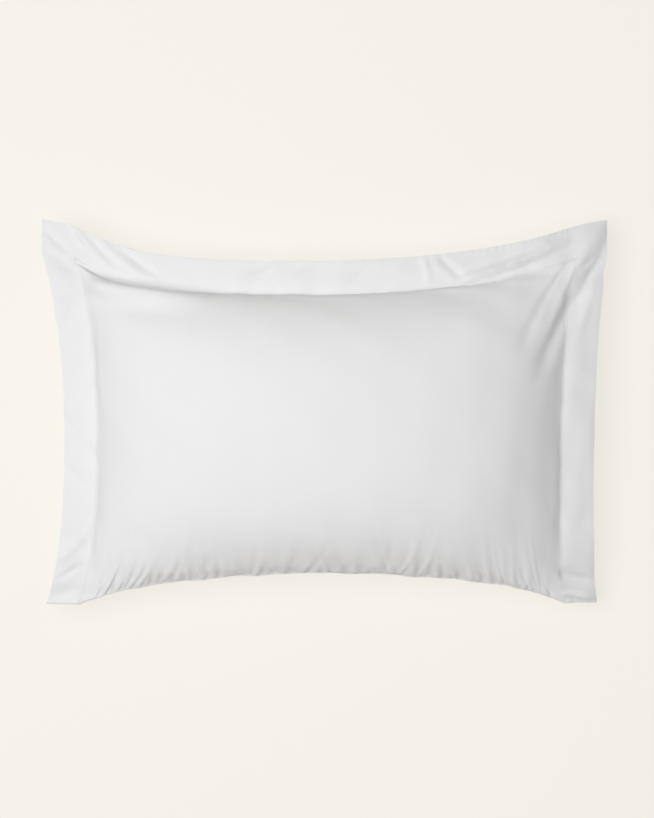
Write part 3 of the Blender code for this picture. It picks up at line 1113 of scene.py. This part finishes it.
def studio_paper(name, colour, lit_share):
    """The pale floor. Part of its brightness is its own glow, so that shadows on it stay faint."""
    nodes = Nodes(name, [channel * lit_share for channel in colour], 0.95)
    nodes.shader.inputs["Specular IOR Level"].default_value = 0.1
    nodes.shader.inputs["Emission Color"].default_value = (*colour, 1)
    nodes.shader.inputs["Emission Strength"].default_value = 1 - lit_share
    grain = nodes.noise(nodes.place(), 300.0, 2.0)
    nodes.tint(grain, 0.995, 1.005)
    return nodes.finish(nodes.bump(grain, 0.0001, 0.2))


# ---------------------------------------------------------------- the case, the insert and the scene


def declare(piece, node):
    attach(piece, "root")
    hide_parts(node)


def declare_sheet(piece, node):
    """A sheet of cloth that is sewn all round and stretched over the filling."""
    declare(piece, node)


def case_stitches(panels, opening, thread):
    """The seam round the body, sewn through from front to back, and the hems of the envelope opening."""
    lift = CLOTH / 2 + THREAD_RADIUS * THREAD_RISE
    loop = panels.seam_loop(panels.front, SEAM_STITCH_SHARE, lift)
    seam_front = run_of_stitches("seam_front", loop, True, thread)
    lowest = panels.back.copy()
    beyond_opening = slice(opening + 1, None)
    lowest[:, beyond_opening] = panels.flap[:, beyond_opening]
    loop = panels.seam_loop(lowest, SEAM_STITCH_SHARE, -lift)
    seam_back = run_of_stitches("seam_back", loop, True, thread)
    seam = join_pieces("flange_seam_stitches", [seam_front, seam_back])
    inset = HEM - HEM_STITCH_INSET
    hem = panels.hem_line(panels.back, OPENING, -inset, -lift)
    opening_hem = run_of_stitches("opening_hem_stitches", hem, False, thread)
    hem = panels.hem_line(panels.flap, FLAP_EDGE, inset, lift)
    flap_hem = run_of_stitches("flap_hem_stitches", hem, False, thread)
    return seam, opening_hem, flap_hem


def make_care_label(panels, cut, tape):
    """The care label, sewn inside the case by its far seam."""
    column = nearest(panels.columns, LABEL_PLACE)
    far_row = panels.folded_rows + panels.far - CARE_LABEL_ROWS
    rows = slice(far_row - CARE_LABEL_ROWS, far_row)
    columns = slice(column, column + CARE_LABEL_COLUMNS)
    return make_label("care_label", panels.front, cut, rows, columns, -LABEL_STANDOFF, tape)


def build_case(panels):
    cotton = woven_cotton("case_percale", (0.80, 0.80, 0.815), 0.00045, 0.12, 0.0006)
    thread = sewing_thread("case_thread", (0.84, 0.84, 0.845))
    tape = label_tape("care_label_tape", (0.80, 0.80, 0.79))
    every = slice(None)
    opening = nearest(panels.columns, OPENING)
    flap_edge = nearest(panels.columns, FLAP_EDGE)
    up_to_opening, from_flap = slice(None, opening + 1), slice(flap_edge, -1)
    flap_rows = slice(1, -1)

    whole_cut = panels.cut_of(every, every)
    front = make_sheet("front_panel", panels.front, whole_cut, CLOTH, cotton)
    back = make_sheet(
        "back_panel", panels.back[:, up_to_opening], panels.cut_of(every, up_to_opening), CLOTH, cotton
    )
    flap = make_sheet(
        "back_flap", panels.flap[flap_rows, from_flap], panels.cut_of(flap_rows, from_flap), CLOTH, cotton
    )

    seam, opening_hem, flap_hem = case_stitches(panels, opening, thread)
    care = make_care_label(panels, whole_cut, tape)

    declare_sheet(front, "case_front_panel")
    declare_sheet(back, "case_back_panel")
    declare_sheet(flap, "case_back_flap")
    declare(seam, "flange_stitching")
    declare(opening_hem, "opening_hem_stitching")
    declare(flap_hem, "flap_hem_stitching")
    declare(care, "case_care_label")


class Insert:
    """The pillow inside the case: the simulated body, evened out and a little smaller."""

    def __init__(self, front_sim, back_sim, lines_a, lines_b):
        rows, columns = body_of(lines_a, lines_b)
        self.cut = np.stack(np.meshgrid(lines_a[columns], lines_b[rows]), axis=-1)
        self.middle = np.array([0, (SEAM_FAR_Y + SEAM_NEAR_Y) / 2, SEAM_HEIGHT - CORNER_SAG / 4])
        half_gap = np.array([0, 0, LAYER_STEP / 2])
        upper = relaxed(front_sim[rows, columns], INSERT_SOFTENING)
        lower = relaxed(back_sim, INSERT_SOFTENING)
        self.upper = self.shrunk(upper, INSERT_SHARE) + half_gap
        self.lower = self.shrunk(lower, INSERT_SHARE) - half_gap

    def shrunk(self, points, share):
        return self.middle + (points - self.middle) * np.array(share)

    @staticmethod
    def rim(points):
        return np.concatenate([points[0], points[1:, -1], points[-1, -2::-1], points[-2:0:-1, 0]])

    def piping_path(self):
        """Beside the rim of the ticking, a cord's radius outside it."""
        rim = (self.rim(self.upper) + self.rim(self.lower)) / 2
        outwards = (rim - self.middle) * np.array([1, 1, 0])
        outwards /= np.linalg.norm(outwards, axis=1, keepdims=True)
        return rim + outwards * (PIPING_RADIUS + PIPING_STANDOFF)


def make_filling(insert, material):
    """The fibre filling: one soft closed body inside the ticking, with a tufted surface."""
    upper = insert.shrunk(insert.upper, (FILL_SHARE,) * 3)
    lower = insert.shrunk(insert.lower, (FILL_SHARE,) * 3)
    rows, columns = upper.shape[:2]
    top = np.arange(rows * columns).reshape(rows, columns)
    bottom = sewn_layer(top, rows * columns)
    rim = np.ones((rows, columns), bool)
    rim[1:-1, 1:-1] = False
    upper[rim] = (upper[rim] + lower[rim]) / 2
    points = np.concatenate([upper.reshape(-1, 3), lower[1:-1, 1:-1].reshape(-1, 3)])
    faces = np.concatenate([grid_faces(top), grid_faces(bottom, flip=True)])
    piece = mesh_piece("fibre_filling", points, faces)
    tufts = bpy.data.textures.new("tufts", "CLOUDS")
    tufts.noise_scale = 0.022
    tufts.noise_depth = 2
    swell = piece.modifiers.new("Tufts", "DISPLACE")
    swell.texture = tufts
    swell.strength = 0.004
    swell.mid_level = 0.75
    apply_modifiers(piece)
    piece.data.shade_smooth()
    piece.data.materials.append(material)
    return piece


def build_insert(insert):
    ticking = woven_cotton("ticking_cotton", (0.78, 0.78, 0.76), 0.0006, 0.08, 0.0008)
    piping = piping_cotton("piping_cotton", (0.78, 0.78, 0.76))
    thread = sewing_thread("ticking_thread", (0.82, 0.82, 0.80))
    tape = label_tape("ticking_label_tape", (0.80, 0.80, 0.78))
    fibre = polyester_fibre("fibre", (0.86, 0.86, 0.85))

    upper = make_sheet("ticking_upper", insert.upper, insert.cut, CLOTH, ticking)
    lower = make_sheet("ticking_lower", insert.lower, insert.cut, CLOTH, ticking)
    cord = make_cord("insert_piping", insert.piping_path(), PIPING_RADIUS, True, piping)
    rows = insert.upper.shape[0]
    third = slice(rows // 3, rows - rows // 3)
    normals = grid_normals(insert.upper)
    closing = insert.upper[third, 1] + normals[third, 1] * (CLOTH / 2 + THREAD_RADIUS)
    closing = run_of_stitches("closing_stitches", closing, False, thread)
    row, column = rows // 5, insert.lower.shape[1] // 6
    label_rows = slice(row, row + INSERT_LABEL_ROWS)
    label_columns = slice(column, column + INSERT_LABEL_COLUMNS)
    lift = -LABEL_STANDOFF / 2
    tag = make_label("insert_label", insert.lower, insert.cut, label_rows, label_columns, lift, tape)
    filling = make_filling(insert, fibre)

    declare(filling, "fibre_fill")
    declare_sheet(upper, "ticking_front")
    declare_sheet(lower, "ticking_back")
    declare(cord, "ticking_piping")
    declare(closing, "ticking_closing_stitches")
    declare(tag, "ticking_label")


def area_light(name, place, size, power, colour):
    data = bpy.data.lights.new(name, "AREA")
    data.shape = "DISK"
    data.size = size
    data.energy = power
    data.color = colour
    lamp = bpy.data.objects.new(name, data)
    bpy.context.scene.collection.objects.link(lamp)
    lamp.location = place
    lamp.rotation_euler = (Vector(LIGHT_AIM) - Vector(place)).to_track_quat("-Z", "Y").to_euler()


def build_studio():
    bpy.ops.object.select_all(action="DESELECT")
    bpy.ops.mesh.primitive_plane_add(size=FLOOR_SIZE)
    floor = bpy.context.object
    floor.name = "studio_floor"
    floor.data.materials.append(studio_paper("studio_paper", FLOOR_COLOUR, FLOOR_LIT_SHARE))

    area_light("key", KEY_PLACE, KEY_SIZE, KEY_POWER, KEY_COLOUR)
    area_light("fill", FILL_PLACE, FILL_SIZE, FILL_POWER, FILL_COLOUR)
    world = bpy.data.worlds.new("studio_air")
    world.use_nodes = True
    air = world.node_tree.nodes["Background"]
    air.inputs["Color"].default_value = (1.0, 0.995, 0.985, 1)
    air.inputs["Strength"].default_value = AIR_LIGHT
    bpy.context.scene.world = world
    bpy.context.scene.view_settings.view_transform = "Standard"


def build_camera():
    """Straight above the pillow, far enough that it looks nearly flat-on."""
    data = bpy.data.cameras.new("camera")
    data.sensor_width = SENSOR
    data.lens = SENSOR * CAMERA_DISTANCE / VIEW_HEIGHT
    data.clip_end = 20
    camera = bpy.data.objects.new("camera", data)
    bpy.context.scene.collection.objects.link(camera)
    camera.location = (CAMERA_AIM[0], CAMERA_AIM[1], SEAM_HEIGHT + CAMERA_DISTANCE)
    bpy.context.scene.camera = camera


build_camera()
simulated = simulate_case()
simulated = slackened(*simulated)
build_case(CasePanels(*simulated))
build_insert(Insert(*simulated))
build_studio()
